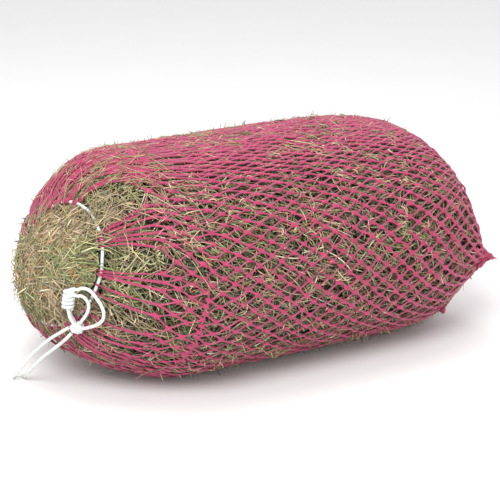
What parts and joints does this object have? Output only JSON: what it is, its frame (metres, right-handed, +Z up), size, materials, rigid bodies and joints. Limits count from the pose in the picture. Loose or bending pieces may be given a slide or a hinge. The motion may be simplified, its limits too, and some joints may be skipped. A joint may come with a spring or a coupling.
{
  "type": "hay net",
  "caption": "Knotless diamond-mesh hay net filled with hay, lying on its side, its mouth drawn in by a white cord tied in a slip knot with a hanging loop.",
  "frame": {"origin": "centre of the filled bag on the ground, without the free cords", "axes": "+X along the bag from the mouth to the closed end, +Y across it, +Z up"},
  "size_m": [1.03, 0.682, 0.4743],
  "materials": {
    "netting": "knotless polypropylene twine, slightly glossy",
    "cord": "white braided polypropylene cord",
    "hay": "dry meadow hay"
  },
  "bodies": {
    "bag": {"netting": "netting", "corner_ear_front": "netting", "corner_ear_rear": "netting", "base_lacing": "cord", "drawstring": "cord", "slip_knot": "cord", "hay_flake_1": "hay", "hay_flake_2": "hay", "hay_flake_3": "hay", "hay_flake_4": "hay", "hay_flake_5": "hay", "hay_flake_6": "hay", "hay_flake_7": "hay", "hay_flake_8": "hay", "hay_flake_9": "hay"},
    "pull_end": {"stopper_knot": "cord", "pull_strand_outer": "cord", "pull_strand_inner": "cord", "pull_strand_pair": "cord"},
    "loop": {"hanging_loop": "cord"}
  },
  "joints": [
    {"name": "loop_swing", "type": "hinge", "parent": "bag", "child": "loop", "pos_m": [-0.461, -0.103, 0.161], "axis": [0.5116, 0.6325, 0.5815], "range_deg": [0, 50]},
    {"name": "pull_end_swing", "type": "hinge", "parent": "bag", "child": "pull_end", "pos_m": [-0.461, -0.103, 0.161], "axis": [0, -1, 0], "range_deg": [0, 110]}
  ]
}
